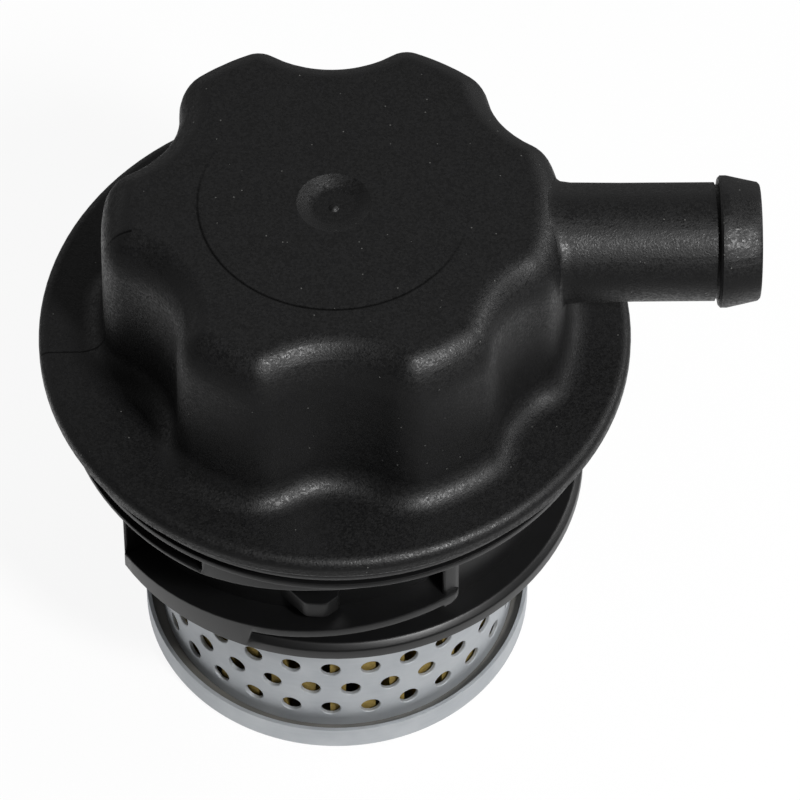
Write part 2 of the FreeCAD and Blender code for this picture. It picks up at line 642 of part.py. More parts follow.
def pleat_outline(fold_r, fold_half, valley_r, valley_half):
    """A closed wave of flat folds and valleys, given by their radii and half widths."""
    corners = []
    for number in range(PLEAT_COUNT):
        angle = 360.0 * number / PLEAT_COUNT
        opposite = angle + 180.0 / PLEAT_COUNT
        for radius, half, middle in ((fold_r, fold_half, angle), (valley_r, valley_half, opposite)):
            for side in (-1, 1):
                corners.append(polar(radius, middle + side * degrees(half / radius), PACK_BOTTOM))
    return closed_face(corners)


def pleated_media():
    """The pleated paper, one closed wave of constant thickness between the two tubes."""
    fold_r = OUTER_TUBE_R - OUTER_TUBE_SHEET - PAPER_GAP
    valley_r = INNER_TUBE_R + PAPER_GAP
    core_fold_half = PLEAT_FOLD_HALF - PAPER_THICK
    core_valley_half = PLEAT_VALLEY_HALF + PAPER_THICK
    skin = pleat_outline(fold_r, PLEAT_FOLD_HALF, valley_r + PAPER_THICK, PLEAT_VALLEY_HALF)
    core = pleat_outline(fold_r - PAPER_THICK, core_fold_half, valley_r, core_valley_half)
    return skin.cut(core).extrude(UP * (PACK_TOP - PACK_BOTTOM))


def bottom_end_cap():
    """The pressed steel pan under the filter, its rim turned up and its middle raised over the valve."""
    rim = BOTTOM_Z + PAN_RIM
    dish = [(VALVE_HOLE_R, DISH_TOP), (VALVE_HOLE_R, DISH_UNDER), (DISH_R - DISH_SLOPE, DISH_UNDER),
            (DISH_R, BOTTOM_Z)]
    wall = [(PAN_R - PAN_CORNER_CUT, BOTTOM_Z), (PAN_R, BOTTOM_Z + PAN_CORNER_CUT), (PAN_R, rim),
            (PAN_INNER_R, rim), (PAN_INNER_R, FLOOR_Z)]
    return turned(dish + wall + [(DISH_R + SHEET, FLOOR_Z), (DISH_R + SHEET - DISH_SLOPE, DISH_TOP)])


def valve_guide():
    """The three-armed sheet guide on the dish, which keeps the valve's stem central."""
    rim = ring(GUIDE_R, GUIDE_R - GUIDE_RIM_WIDTH, DISH_TOP, GUIDE_TOP)
    hub = cylinder(GUIDE_HUB_R, DISH_TOP, GUIDE_TOP)
    half = GUIDE_ARM_WIDTH / 2
    arm = box((0, -half, DISH_TOP), (GUIDE_R - GUIDE_RIM_WIDTH / 2, half, GUIDE_TOP))
    plate = fused([rim, hub] + around(arm, GUIDE_ARMS))
    return plate.cut(cylinder(VALVE_STEM_R + RUNNING_GAP, DISH_TOP - SPARE, GUIDE_TOP + SPARE))


def valve_gasket():
    """The rubber washer bonded on the valve plate, which closes on the dish around its hole."""
    return ring(GASKET_R, GASKET_R - GASKET_WIDTH, PLATE_TOP, DISH_UNDER)


def valve_plate():
    """The valve's round plate, pressed on its stem."""
    return ring(PLATE_R, VALVE_STEM_R, PLATE_BOTTOM, PLATE_TOP)


def valve_stem():
    """The valve's stem, headed below the plate and above the spring's retainer."""
    shaft = cylinder(VALVE_STEM_R, PLATE_BOTTOM, RETAINER_TOP)
    lower_head = cylinder(VALVE_STEM_HEAD_R, PLATE_BOTTOM - VALVE_STEM_HEAD, PLATE_BOTTOM)
    upper_head = cylinder(VALVE_STEM_HEAD_R, RETAINER_TOP, RETAINER_TOP + VALVE_STEM_HEAD)
    return fused([shaft, lower_head, upper_head])


def valve_spring():
    """The spring that lifts the plate against the dish, drawn in short straight steps of square wire."""
    half = SPRING_WIRE / 2
    bottom = GUIDE_TOP + half + SPRING_SEAT_GAP
    steps = SPRING_TURNS * SPRING_STEPS
    rise = (SPRING_LENGTH - SPRING_WIRE - 2 * SPRING_SEAT_GAP) / steps
    sections = []
    for step in range(steps + 1):
        angle = 360.0 * step / SPRING_STEPS
        z = bottom + rise * step
        inner = SPRING_R - half
        outer = SPRING_R + half
        corners = [polar(inner, angle, z - half), polar(outer, angle, z - half),
                   polar(outer, angle, z + half), polar(inner, angle, z + half)]
        sections.append(Part.makePolygon(corners + corners[:1]))
    return Part.makeLoft(sections, True, True)


def spring_retainer():
    """The cupped washer on the stem that the spring pushes up."""
    outer = RETAINER_R + RETAINER_THICK
    rim = SPRING_TOP - RETAINER_RIM
    return turned([(VALVE_STEM_R, SPRING_TOP), (RETAINER_R, SPRING_TOP), (RETAINER_R, rim), (outer, rim),
                   (outer, RETAINER_TOP), (VALVE_STEM_R, RETAINER_TOP)])


PARTS = {
    "cap_body": cap_body,
    "neck_seal_ring": neck_seal_ring,
    "filter_carrier": filter_carrier,
    "carrier_o_ring": carrier_o_ring,
    "retaining_ring": retaining_ring,
    "stem_grommet": stem_grommet,
    "top_end_cap": top_end_cap,
    "top_glue": lambda: glue_ring(PACK_TOP, TOP_GLUE_Z),
    "outer_tube": outer_tube,
    "pleated_media": pleated_media,
    "inner_tube": inner_tube,
    "bottom_glue": lambda: glue_ring(FLOOR_Z, PACK_BOTTOM),
    "bottom_end_cap": bottom_end_cap,
    "valve_guide": valve_guide,
    "valve_gasket": valve_gasket,
    "valve_plate": valve_plate,
    "valve_stem": valve_stem,
    "valve_spring": valve_spring,
    "spring_retainer": spring_retainer,
}

os.makedirs("parts", exist_ok=True)
for name, make in PARTS.items():
    shape = make()
    shape.exportStep("parts/" + name + ".step")
    print(name, "solids", len(shape.Solids), "valid", shape.isValid(), "volume", round(shape.Volume, 1))
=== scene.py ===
# %% [markdown]
# # Power steering reservoir cap
#
# The cap is a black glass-filled nylon moulding: a lobed grip on a round flange, with a hose nipple at
# its side and a bayonet collar below. A steel return filter hangs from it on a stem. The CAD frame holds
# every piece at its real size. This file rounds the edges that a mould and a press leave, makes the
# perforated tube, the rubber ring and the spring as round as the real ones, gives each piece its finish,
# and lights the whole.

# %% Load the frame
import json
from math import acos, asin, cos, degrees, pi, radians, sin

import bmesh
import bpy
from mathutils import Matrix, Vector


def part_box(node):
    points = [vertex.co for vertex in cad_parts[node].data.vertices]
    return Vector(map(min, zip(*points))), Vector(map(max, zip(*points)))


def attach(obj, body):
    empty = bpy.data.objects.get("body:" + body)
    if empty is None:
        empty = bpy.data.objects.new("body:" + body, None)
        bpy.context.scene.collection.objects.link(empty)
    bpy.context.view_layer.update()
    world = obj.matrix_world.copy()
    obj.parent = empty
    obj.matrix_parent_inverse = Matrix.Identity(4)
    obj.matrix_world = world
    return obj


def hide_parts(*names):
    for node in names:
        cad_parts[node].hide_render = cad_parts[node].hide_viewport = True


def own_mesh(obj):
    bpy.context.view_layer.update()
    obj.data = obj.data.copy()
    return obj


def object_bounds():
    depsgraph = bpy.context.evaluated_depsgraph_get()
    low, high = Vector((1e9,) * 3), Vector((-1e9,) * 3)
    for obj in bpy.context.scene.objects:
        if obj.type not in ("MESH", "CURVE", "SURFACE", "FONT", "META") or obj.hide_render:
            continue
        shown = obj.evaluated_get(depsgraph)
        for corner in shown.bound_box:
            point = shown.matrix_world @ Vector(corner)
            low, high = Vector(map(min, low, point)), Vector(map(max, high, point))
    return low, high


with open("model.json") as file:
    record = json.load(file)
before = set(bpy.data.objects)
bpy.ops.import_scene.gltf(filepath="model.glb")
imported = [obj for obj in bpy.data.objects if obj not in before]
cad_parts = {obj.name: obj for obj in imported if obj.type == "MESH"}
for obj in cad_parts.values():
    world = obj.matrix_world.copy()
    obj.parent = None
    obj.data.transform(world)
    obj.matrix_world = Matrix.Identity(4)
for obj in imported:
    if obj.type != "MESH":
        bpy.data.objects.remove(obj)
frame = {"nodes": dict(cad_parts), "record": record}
cad_low, cad_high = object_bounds()
NODES = frame["nodes"]
MM = 0.001
print("CAD nodes:", len(NODES), "box in mm:", [round(side / MM, 1) for side in cad_high - cad_low])

# %% [markdown]
# ## Camera
#
# The photograph was taken from the front and well above, with a long lens. The distance and the
# three angles come from the outline of the round flange, the level nipple and its barb. A camera in
# Blender looks along its own -Z, with +X to the right, so its three axes are worked out from a turn
# about the vertical (pan), a downward tilt and a small roll, and put side by side in a matrix.

# %% Place the camera
FLANGE_EDGE_Z = 6.6 * MM
CAMERA_DISTANCE = 810.7 * MM
CAMERA_ELEVATION = radians(52.20)
CAMERA_PAN = radians(1.02)
CAMERA_TILT = radians(52.86)
CAMERA_ROLL = radians(-0.30)
LENS_MM = 270.0
SENSOR_MM = 36.0


def camera_axes(pan, tilt, roll):
    """The camera's right, up and backward directions."""
    forward = Vector((sin(pan) * cos(tilt), cos(pan) * cos(tilt), -sin(tilt)))
    level_right = Vector((cos(pan), -sin(pan), 0.0))
    level_down = forward.cross(level_right)
    right = cos(roll) * level_right + sin(roll) * level_down
    down = cos(roll) * level_down - sin(roll) * level_right
    return right, -down, -forward


camera = bpy.data.objects.new("camera", bpy.data.cameras.new("camera"))
bpy.context.scene.collection.objects.link(camera)
bpy.context.scene.camera = camera
camera.data.lens = LENS_MM
camera.data.sensor_width = SENSOR_MM
place = Vector((0.0, -cos(CAMERA_ELEVATION), sin(CAMERA_ELEVATION))) * CAMERA_DISTANCE
place.z += FLANGE_EDGE_Z
turn = Matrix(camera_axes(CAMERA_PAN, CAMERA_TILT, CAMERA_ROLL)).transposed().to_4x4()
camera.matrix_world = Matrix.Translation(place) @ turn
print("camera at mm:", [round(value / MM, 1) for value in place])

# %% [markdown]
# ## Colours and nodes
#
# Colours are written as the hex codes that a screen shows, and one function turns them into the linear
# values that Blender works in. A second one adds a shader node, with its settings and its inputs, so that
# a material reads as a list of steps.

# %% Colours and nodes
def linear(hex_colour):
    """An sRGB hex colour, such as 1f1f21, as the linear colour that Blender works in."""
    channels = []
    for place_in_code in (0, 2, 4):
        value = int(hex_colour[place_in_code:place_in_code + 2], 16) / 255.0
        channels.append(value / 12.92 if value <= 0.04045 else ((value + 0.055) / 1.055) ** 2.4)
    return (*channels, 1.0)


def add_node(tree, kind, inputs=None, **settings):
    """A node with its settings and inputs.

    An input is a plain value, another node's output, or another node, which stands for its first output.
    """
    node = tree.nodes.new(kind)
    for name, value in settings.items():
        setattr(node, name, value)
    for name, value in (inputs or {}).items():
        if isinstance(value, bpy.types.Node):
            value = value.outputs[0]
        if isinstance(value, bpy.types.NodeSocket):
            tree.links.new(value, node.inputs[name])
        else:
            node.inputs[name].default_value = value
    return node


def new_material(name):
    """An empty node material and its tree."""
    material = bpy.data.materials.new(name)
    material.use_nodes = True
    material.node_tree.nodes.clear()
    return material, material.node_tree


print("mid grey, linear:", round(linear("808080")[0], 3))

# %% [markdown]
# ## Studio
#
# The object stands on a pale floor in soft light. The background is white because the floor and the
# world are white to the camera, and to mirror-like rays, so that steel shows it too. The floor keeps a
# part of its own shade, and with it the object's soft shadow. In the photograph, black roundings that
# face the front stay black, because the room behind the camera is dim, and only the card under the
# object and the sweep behind it are bright. So the white that mirror-like rays find is dimmed by a glow
# value, which falls with the distance on the floor, and towards the front and overhead in the world.

# %% White for mirror-like rays
def white_for_mirrors(tree, shade, share, glow):
    """Mixes a share of white into a shade, for camera, glossy and transmitted rays only.

    The camera finds full white, and the other two find as much of it as glow says.
    """
    path = add_node(tree, "ShaderNodeLightPath").outputs
    seen = add_node(tree, "ShaderNodeMath", {0: path["Is Camera Ray"], 1: path["Is Glossy Ray"]},
                    operation="MAXIMUM")
    seen = add_node(tree, "ShaderNodeMath", {0: seen, 1: path["Is Transmission Ray"]}, operation="MAXIMUM")
    amount = add_node(tree, "ShaderNodeMath", {0: seen, 1: share}, operation="MULTIPLY")
    strength = add_node(tree, "ShaderNodeMath", {0: glow, 1: path["Is Camera Ray"]}, operation="MAXIMUM")
    white = add_node(tree, "ShaderNodeEmission", {"Color": linear("ffffff"), "Strength": strength})
    return add_node(tree, "ShaderNodeMixShader", {0: amount, 1: shade, 2: white})


# %% [markdown]
# ### Floor
#
# The bright card is an oval under the object and a little behind it, which fades out over a few
# centimetres. It is measured as a distance on the floor whose X is pressed together, so that the oval is
# wider than it is deep. The floor's underside is clear, so that the filter's bottom can be looked at
# from below.

# %% Floor
FLOOR_SIZE = 3.0
FLOOR_GAP_MM = 0.05
WHITE_SHARE_OF_FLOOR = 0.9
CARD_CENTRE_Y = 25.0
CARD_STRETCH_X = 0.6
CARD_EDGE_MM = (70.0, 105.0)
BEYOND_CARD = 0.1

floor_mesh = bmesh.new()
bmesh.ops.create_grid(floor_mesh, x_segments=1, y_segments=1, size=FLOOR_SIZE,
                      matrix=Matrix.Translation((0.0, 0.0, cad_low.z - FLOOR_GAP_MM * MM)))
floor = bpy.data.objects.new("floor", bpy.data.meshes.new("floor"))
floor_mesh.to_mesh(floor.data)
floor_mesh.free()
bpy.context.scene.collection.objects.link(floor)

floor_paper, tree = new_material("white_studio_paper")
paper = add_node(tree, "ShaderNodeBsdfDiffuse", {"Color": linear("fafafa")})
spot = add_node(tree, "ShaderNodeTexCoord").outputs["Object"]
spot = add_node(tree, "ShaderNodeVectorMath", {0: spot, 1: (CARD_STRETCH_X, 1.0, 0.0)}, operation="MULTIPLY")
off_centre = add_node(tree, "ShaderNodeVectorMath", {0: spot, 1: (0.0, CARD_CENTRE_Y * MM, 0.0)},
                      operation="DISTANCE").outputs["Value"]
card = add_node(tree, "ShaderNodeMapRange",
                {"Value": off_centre, "From Min": CARD_EDGE_MM[0] * MM, "From Max": CARD_EDGE_MM[1] * MM,
                 "To Min": 1.0, "To Max": BEYOND_CARD}, interpolation_type="SMOOTHSTEP")
topside = white_for_mirrors(tree, paper, WHITE_SHARE_OF_FLOOR, card)
underside = add_node(tree, "ShaderNodeBsdfTransparent")
from_below = add_node(tree, "ShaderNodeNewGeometry").outputs["Backfacing"]
one_sided = add_node(tree, "ShaderNodeMixShader", {0: from_below, 1: topside, 2: underside})
add_node(tree, "ShaderNodeOutputMaterial", {"Surface": one_sided})
floor.data.materials.append(floor_paper)
print("floor at mm:", round(floor.data.vertices[0].co.z / MM, 2), "nodes:", len(tree.nodes))

# %% [markdown]
# ### World
#
# A world's Generated coordinate is the direction in which a ray leaves, so its Y is how far back the ray
# points and its Z how far up. The glow is low towards the front, where the dim room is, higher towards
# the sweep behind the object, and lower again overhead.

# %% World
SKY_STRENGTH = 0.35
FRONT_TO_BACK = {"From Min": -0.25, "From Max": 0.6, "To Min": 0.05, "To Max": 0.4}
LEVEL_TO_OVERHEAD = {"From Min": 0.1, "From Max": 0.8, "To Min": 1.0, "To Max": 0.3}

world = bpy.data.worlds.new("studio")
bpy.context.scene.world = world
world.use_nodes = True
tree = world.node_tree
tree.nodes.clear()
sky = add_node(tree, "ShaderNodeBackground", {"Color": linear("ffffff"), "Strength": SKY_STRENGTH})
towards = add_node(tree, "ShaderNodeTexCoord").outputs["Generated"]
towards = add_node(tree, "ShaderNodeSeparateXYZ", {0: towards}).outputs
sweep = add_node(tree, "ShaderNodeMapRange", {"Value": towards["Y"], **FRONT_TO_BACK},
                 interpolation_type="SMOOTHSTEP")
ceiling = add_node(tree, "ShaderNodeMapRange", {"Value": towards["Z"], **LEVEL_TO_OVERHEAD},
                   interpolation_type="SMOOTHSTEP")
glow = add_node(tree, "ShaderNodeMath", {0: sweep, 1: ceiling}, operation="MULTIPLY")
bright = white_for_mirrors(tree, sky, 1.0, glow)
add_node(tree, "ShaderNodeOutputWorld", {"Surface": bright})
bpy.context.scene.view_settings.view_transform = "Standard"
print("world nodes:", len(tree.nodes))

# %% [markdown]
# ## Lamps
#
# The photograph's speckled highlights lie on edges that face the front and a little to the right, so a
# small key lamp stands there, a little higher than the camera. A weak wide lamp at the right fills the
# walls that the key lamp leaves dark.

# %% Lamps
def soft_lamp(name, position_mm, size_mm, watts):
    """A square lamp that faces the object."""
    lamp = bpy.data.objects.new(name, bpy.data.lights.new(name, "AREA"))
    bpy.context.scene.collection.objects.link(lamp)
    lamp.data.size = size_mm * MM
    lamp.data.energy = watts
    position = Vector(position_mm) * MM
    facing = (-position).to_track_quat("-Z", "Y").to_matrix().to_4x4()
    lamp.matrix_world = Matrix.Translation(position) @ facing
    print(name, "stands", round(position.length / MM), "mm from the cap")


soft_lamp("key_lamp", position_mm=(420, -550, 720), size_mm=140, watts=8.5)
soft_lamp("fill_lamp", position_mm=(750, 250, 350), size_mm=350, watts=1.5)

# %% [markdown]
# ## Black glass-filled nylon
#
# The cap is moulded from nylon with short glass fibres. The grip, flange and nipple come from a mould
# face with a fine spark-eroded grain, which keeps them dark and dull, and makes a highlight break up
# into specks. The collar's mould faces are plain, so the same plastic is smoother there. One material
# does both, by height on the part.
#
# ### Lines that the mould leaves
#
# The mould leaves one line where its halves meet, and a ring around the round insert in the grip's top.
# Each is a groove too thin for light to come back out of, so its shade is painted: a mask marks it, which is
# 1 on the line.
# The ring's painted shade is strongest at the front and fades out towards the back.

# %% Mould lines
COLLAR_TOP_Z = 0.5
GRIP_TOP_Z = 33.6
WITNESS_RING_R = 17.95
WITNESS_RING_WIDTH = 0.28
RING_FADE_LEAN = 0.4
RING_FADE = {"From Min": -15.0 * MM, "From Max": 6.0 * MM, "To Min": 0.8, "To Max": 0.03}
PARTING_LINE_Y = -4.4
PARTING_LINE_WIDTH = 0.22
PARTING_LINE_LAST_X = -26.5
PARTING_LINE_DEPTH = 0.7


def line_at(tree, distance, at, width):
    """1 on a thin line where a distance has a value, falling to 0 at its edges."""
    off = add_node(tree, "ShaderNodeMath", {0: distance, 1: at * MM}, operation="SUBTRACT")
    off = add_node(tree, "ShaderNodeMath", {0: off}, operation="ABSOLUTE")
    return add_node(tree, "ShaderNodeMapRange", {"Value": off, "From Min": 0.0, "From Max": width * MM,
                                                 "To Min": 1.0, "To Max": 0.0})


def witness_ring(tree, place, axes):
    """The mask of the ring in the grip's top."""
    level = add_node(tree, "ShaderNodeVectorMath", {0: place, 1: (1.0, 1.0, 0.0)}, operation="MULTIPLY")
    radius = add_node(tree, "ShaderNodeVectorMath", {0: level}, operation="LENGTH").outputs["Value"]
    ring = line_at(tree, radius, WITNESS_RING_R, WITNESS_RING_WIDTH)
    on_top = add_node(tree, "ShaderNodeMath", {0: axes["Z"], 1: GRIP_TOP_Z * MM}, operation="GREATER_THAN")
    ring = add_node(tree, "ShaderNodeMath", {0: ring, 1: on_top}, operation="MULTIPLY")
    across = add_node(tree, "ShaderNodeMath", {0: axes["X"], 1: RING_FADE_LEAN, 2: axes["Y"]},
                      operation="MULTIPLY_ADD")
    fade = add_node(tree, "ShaderNodeMapRange", {"Value": across, **RING_FADE},
                    interpolation_type="SMOOTHSTEP")
    return add_node(tree, "ShaderNodeMath", {0: ring, 1: fade}, operation="MULTIPLY")


def parting_line(tree, axes, grained):
    """The mask of the line where the mould's halves meet, on the grip's and the flange's left."""
    line = line_at(tree, axes["Y"], PARTING_LINE_Y, PARTING_LINE_WIDTH)
    on_left = add_node(tree, "ShaderNodeMath", {0: axes["X"], 1: PARTING_LINE_LAST_X * MM},
                       operation="LESS_THAN")
    line = add_node(tree, "ShaderNodeMath", {0: line, 1: on_left}, operation="MULTIPLY")
    line = add_node(tree, "ShaderNodeMath", {0: line, 1: grained}, operation="MULTIPLY")
    return add_node(tree, "ShaderNodeMath", {0: line, 1: PARTING_LINE_DEPTH}, operation="MULTIPLY")


# %% [markdown]
# ### Glints and grain
#
# Glints are painted into the colour as pale dots, standing in for the light that glass fibres catch where
# they end at the surface. A cell pattern with one dot in the middle of each cell gives their places, and a
# cell's random colour picks the few that show. The real grain is about 0.1 mm, less than a pixel of the
# render, so grain and specks are drawn at two pixels. The random tone of the smallest cells makes each
# speck a little glossier or duller.

# %% Nylon patterns
GRAIN_MM = 0.26
SPECK_MM = 0.27
MOTTLE_MM = 2.5
GLINT_SPACING_MM = 1.1
GLINT_REACH = 0.09
GLINT_LOWEST_TONE = 0.88


def painted_glints(tree, place, grained):
    """The mask of the few painted glints, where fibre ends would catch the light."""
    ends = add_node(tree, "ShaderNodeTexVoronoi", {"Vector": place, "Scale": 1.0 / (GLINT_SPACING_MM * MM)})
    glints = add_node(tree, "ShaderNodeMath", {0: ends.outputs["Distance"], 1: GLINT_REACH},
                      operation="LESS_THAN")
    tone = add_node(tree, "ShaderNodeSeparateColor", {0: ends.outputs["Color"]}).outputs[1]
    chosen = add_node(tree, "ShaderNodeMath", {0: tone, 1: GLINT_LOWEST_TONE}, operation="GREATER_THAN")
    glints = add_node(tree, "ShaderNodeMath", {0: glints, 1: chosen}, operation="MULTIPLY")
    return add_node(tree, "ShaderNodeMath", {0: glints, 1: grained}, operation="MULTIPLY")


def nylon_colour(tree, place, lines, glints):
    """Near-black, faintly mottled, with the grooves' shade painted black on the lines, and painted grey
    glints.
    """
    mottle = add_node(tree, "ShaderNodeTexNoise",
                      {"Vector": place, "Scale": 1.0 / (MOTTLE_MM * MM), "Detail": 3.0})
    shade = add_node(tree, "ShaderNodeMix", {0: mottle, 6: linear("090909"), 7: linear("0f0f10")},
                     data_type="RGBA").outputs[2]
    # Painted shade: the grooves' shade is painted near-black on the lines.
    shade = add_node(tree, "ShaderNodeMix", {0: lines, 6: shade, 7: linear("010101")},
                     data_type="RGBA").outputs[2]
    # Painted highlight: pale grey glints painted where fibre ends would catch the light.
    return add_node(tree, "ShaderNodeMix", {0: glints, 6: shade, 7: linear("585856")},
                    data_type="RGBA").outputs[2]


# %% [markdown]
# ### The whole finish
#
# Roughness runs from 0.38 to 0.64 between the specks of the grain, and is an even 0.4 on the collar,
# whose mould faces are plain. Metallic is 1 on the lines alone, as their painted shade: over black it
# leaves nothing to reflect, which a thin deep groove doesn't either. The rest is an ordinary plastic with
# nylon's IOR of 1.53.

# %% Nylon
ROUGHNESS_LEAST = 0.38
ROUGHNESS_SPREAD = 0.26
ROUGHNESS_PLAIN = 0.4
GRAIN_LEFT_ON_COLLAR = 0.15
GRAIN_DEPTH_MM = 0.06


def glass_filled_nylon():
    """Dark plastic with a sparkling grain above the collar, painted glints, and the painted shade of the
    mould's witness lines.
    """
    material, tree = new_material("glass_filled_nylon_moulded")
    place = add_node(tree, "ShaderNodeTexCoord").outputs["Object"]
    axes = add_node(tree, "ShaderNodeSeparateXYZ", {0: place}).outputs
    grained = add_node(tree, "ShaderNodeMath", {0: axes["Z"], 1: COLLAR_TOP_Z * MM}, operation="GREATER_THAN")
    lines = add_node(tree, "ShaderNodeMath", {0: witness_ring(tree, place, axes),
                                              1: parting_line(tree, axes, grained)}, operation="MAXIMUM")
    shade = nylon_colour(tree, place, lines, painted_glints(tree, place, grained))
    specks = add_node(tree, "ShaderNodeTexVoronoi", {"Vector": place, "Scale": 1.0 / (SPECK_MM * MM)})
    speck_tone = add_node(tree, "ShaderNodeSeparateColor", {0: specks.outputs["Color"]})
    sparkle = add_node(tree, "ShaderNodeMath", {0: speck_tone, 1: ROUGHNESS_SPREAD, 2: ROUGHNESS_LEAST},
                       operation="MULTIPLY_ADD")
    roughness = add_node(tree, "ShaderNodeMix", {0: grained, 2: ROUGHNESS_PLAIN, 3: sparkle})
    grain = add_node(tree, "ShaderNodeTexNoise",
                     {"Vector": place, "Scale": 1.0 / (GRAIN_MM * MM), "Detail": 2.0})
    depth = add_node(tree, "ShaderNodeMix", {0: grained, 2: GRAIN_LEFT_ON_COLLAR, 3: 1.0})
    relief = add_node(tree, "ShaderNodeMath", {0: grain, 1: depth}, operation="MULTIPLY")
    relief = add_node(tree, "ShaderNodeMath", {0: relief, 1: lines}, operation="SUBTRACT")
    bump = add_node(tree, "ShaderNodeBump",
                    {"Height": relief, "Strength": 0.7, "Distance": GRAIN_DEPTH_MM * MM})
    # Metallic on the lines is part of their painted shade: it takes away what they reflect.
    shader = add_node(tree, "ShaderNodeBsdfPrincipled",
                      {"Base Color": shade, "Roughness": roughness, "Metallic": lines, "Normal": bump,
                       "IOR": 1.53})
    add_node(tree, "ShaderNodeOutputMaterial", {"Surface": shader})
    return material


NYLON = glass_filled_nylon()
print("nylon nodes:", len(NYLON.node_tree.nodes))

# %% [markdown]
# ## Zinc-plated sheet steel
#
# The pans and the perforated tube are pressed from thin zinc-plated steel. Zinc is a pale, slightly
# blue grey. Rolling leaves fine streaks along the sheet, and plating leaves a soft cloudy variation, so
# roughness and colour both drift a little. On the tube the streaks run round, as the sheet was rolled.
# They are under 0.1 mm wide on the real sheet and drawn at 0.5 mm, so that they show. A passivated zinc
# skin scatters part of the light as grey paint does, so Metallic is 0.8 and the roughness high.

# %% Zinc-plated steel
STREAK_MM = 0.5
STREAK_STRETCH = 14.0
CLOUD_MM = 6.0


def zinc_plated_steel():
    """Pale blue-grey metal, cloudy and faintly streaked."""
    material, tree = new_material("zinc_plated_sheet_steel")
    place = add_node(tree, "ShaderNodeTexCoord").outputs["Object"]
    clouds = add_node(tree, "ShaderNodeTexNoise",
                      {"Vector": place, "Scale": 1.0 / (CLOUD_MM * MM), "Detail": 4.0})
    shade = add_node(tree, "ShaderNodeMix", {0: clouds, 6: linear("a9adb2"), 7: linear("c8cbcd")},
                     data_type="RGBA").outputs[2]
    along = add_node(tree, "ShaderNodeMapping",
                     {"Vector": place, "Scale": (1.0 / STREAK_STRETCH, 1.0 / STREAK_STRETCH, 1.0)})
    streaks = add_node(tree, "ShaderNodeTexNoise",
                       {"Vector": along, "Scale": 1.0 / (STREAK_MM * MM), "Detail": 2.0})
    roughness = add_node(tree, "ShaderNodeMath", {0: streaks, 1: 0.16, 2: 0.6}, operation="MULTIPLY_ADD")
    bump = add_node(tree, "ShaderNodeBump", {"Height": streaks, "Strength": 0.1, "Distance": 0.01 * MM})
    shader = add_node(tree, "ShaderNodeBsdfPrincipled",
                      {"Base Color": shade, "Roughness": roughness, "Metallic": 0.8, "Normal": bump})
    add_node(tree, "ShaderNodeOutputMaterial", {"Surface": shader})
    return material


ZINC = zinc_plated_steel()
print("zinc nodes:", len(ZINC.node_tree.nodes))

# %% [markdown]
# ## Drawn spring steel
#
# Spring wire is drawn through a die and stays darker than zinc. Its die lines are too fine to see. What
# shows is a film of oil, which makes patches of the wire glossier.

# %% Spring steel
OIL_PATCH_MM = 3.0


def drawn_spring_steel():
    """Dark wire with an uneven film of oil."""
    material, tree = new_material("drawn_spring_steel")
    place = add_node(tree, "ShaderNodeTexCoord").outputs["Object"]
    oil = add_node(tree, "ShaderNodeTexNoise",
                   {"Vector": place, "Scale": 1.0 / (OIL_PATCH_MM * MM), "Detail": 2.0})
    roughness = add_node(tree, "ShaderNodeMath", {0: oil, 1: 0.25, 2: 0.2}, operation="MULTIPLY_ADD")
    shader = add_node(tree, "ShaderNodeBsdfPrincipled",
                      {"Base Color": linear("85878a"), "Metallic": 1.0, "Roughness": roughness})
    add_node(tree, "ShaderNodeOutputMaterial", {"Surface": shader})
    return material


SPRING_STEEL = drawn_spring_steel()
print("spring steel nodes:", len(SPRING_STEEL.node_tree.nodes))

# %% [markdown]
# ## Nitrile rubber
#
# The seals are moulded nitrile rubber: nearly black, with a satin skin. The skin's real bloom is finer
# than the render shows, so it is drawn at 0.4 mm.

# %% Rubber
SKIN_MM = 0.4


def nitrile_rubber():
    """Nearly black rubber with a fine satin skin."""
    material, tree = new_material("nitrile_rubber_moulded")
    place = add_node(tree, "ShaderNodeTexCoord").outputs["Object"]
    skin = add_node(tree, "ShaderNodeTexNoise",
                    {"Vector": place, "Scale": 1.0 / (SKIN_MM * MM), "Detail": 2.0})
    roughness = add_node(tree, "ShaderNodeMath", {0: skin, 1: 0.2, 2: 0.4}, operation="MULTIPLY_ADD")
    bump = add_node(tree, "ShaderNodeBump", {"Height": skin, "Strength": 0.2, "Distance": 0.02 * MM})
    shader = add_node(tree, "ShaderNodeBsdfPrincipled",
                      {"Base Color": linear("121213"), "Roughness": roughness, "Normal": bump, "IOR": 1.52,
                       "Specular IOR Level": 0.3})
    add_node(tree, "ShaderNodeOutputMaterial", {"Surface": shader})
    return material


RUBBER = nitrile_rubber()
print("rubber nodes:", len(RUBBER.node_tree.nodes))

# %% [markdown]
# ## Paper and glue
#
# The pleated paper is resin-treated, a dull straw colour with fibres that cross at random. Its fibres
# are about 0.03 mm thick, and only their clumps of half a millimetre show. The end glue is a grey
# casting resin, smooth where it flowed.

# %% Paper and glue
CLUMP_MM = 0.5
FLOW_MM = 4.0


def filter_paper():
    """Straw-coloured paper with crossing fibres."""
    material, tree = new_material("resin_treated_filter_paper")
    place = add_node(tree, "ShaderNodeTexCoord").outputs["Object"]
    fibres = add_node(tree, "ShaderNodeTexNoise",
                      {"Vector": place, "Scale": 1.0 / (CLUMP_MM * MM), "Detail": 5.0})
    shade = add_node(tree, "ShaderNodeMix", {0: fibres, 6: linear("5f5024"), 7: linear("968149")},
                     data_type="RGBA").outputs[2]
    bump = add_node(tree, "ShaderNodeBump", {"Height": fibres, "Strength": 0.5, "Distance": 0.08 * MM})
    shader = add_node(tree, "ShaderNodeBsdfPrincipled",
                      {"Base Color": shade, "Roughness": 0.9, "Normal": bump, "Specular IOR Level": 0.2})
    add_node(tree, "ShaderNodeOutputMaterial", {"Surface": shader})
    return material


